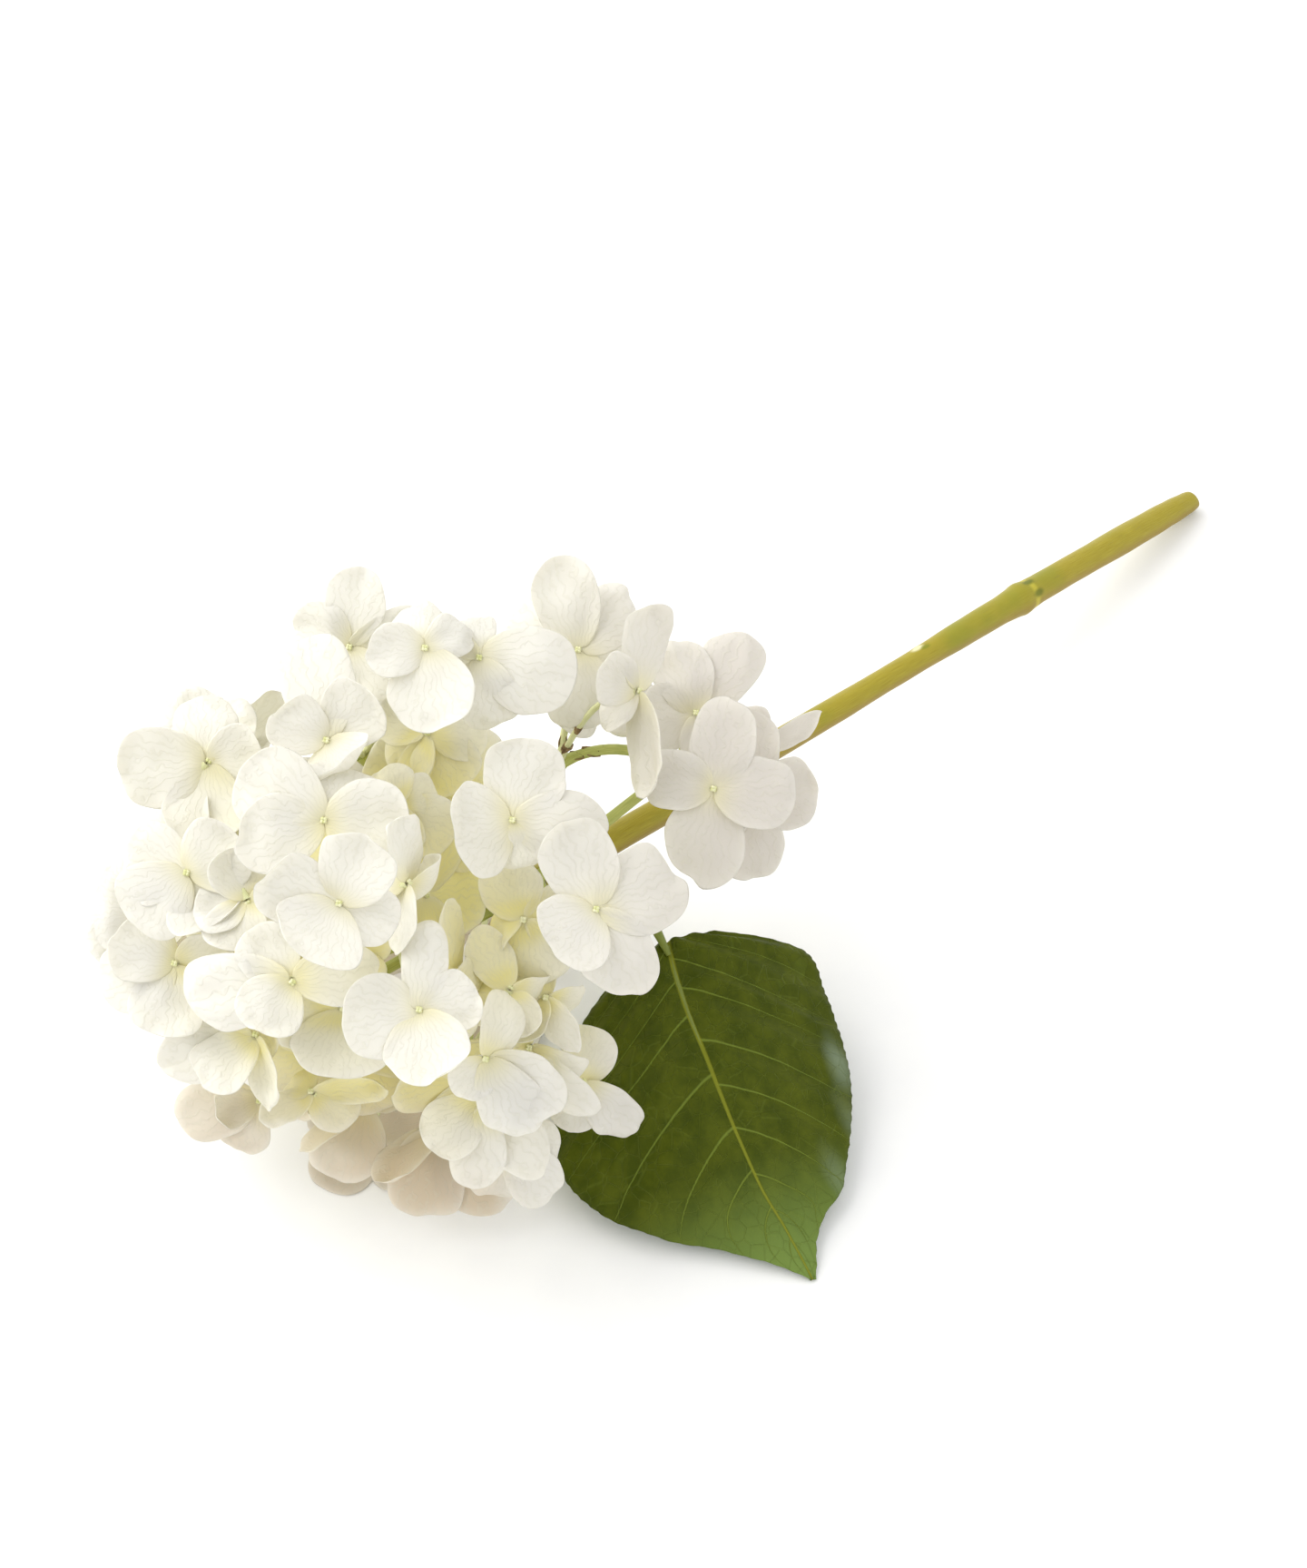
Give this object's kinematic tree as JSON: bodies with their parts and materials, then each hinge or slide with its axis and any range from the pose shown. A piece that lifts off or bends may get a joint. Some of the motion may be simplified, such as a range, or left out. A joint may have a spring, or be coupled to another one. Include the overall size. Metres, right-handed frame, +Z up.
{
  "type": "cut hydrangea",
  "caption": "Cut mophead hydrangea laid on its side: a domed head of creamy white lobed florets on a green woody stem with one broad toothed leaf.",
  "frame": {"origin": "on the table, under the middle of the flower's bounding box", "axes": "+Z up from the table it lies on, +X along the stem from the flower head toward the cut end"},
  "size_m": [0.3652, 0.1788, 0.1426],
  "materials": {
    "stem": "smooth green bark, satin",
    "leaf": "veined leaf, satin",
    "petals": "soft matte sepals, thin and translucent"
  },
  "bodies": {
    "root": {"stem": "stem", "leaf": "leaf", "flower_head": "petals"}
  },
  "joints": []
}
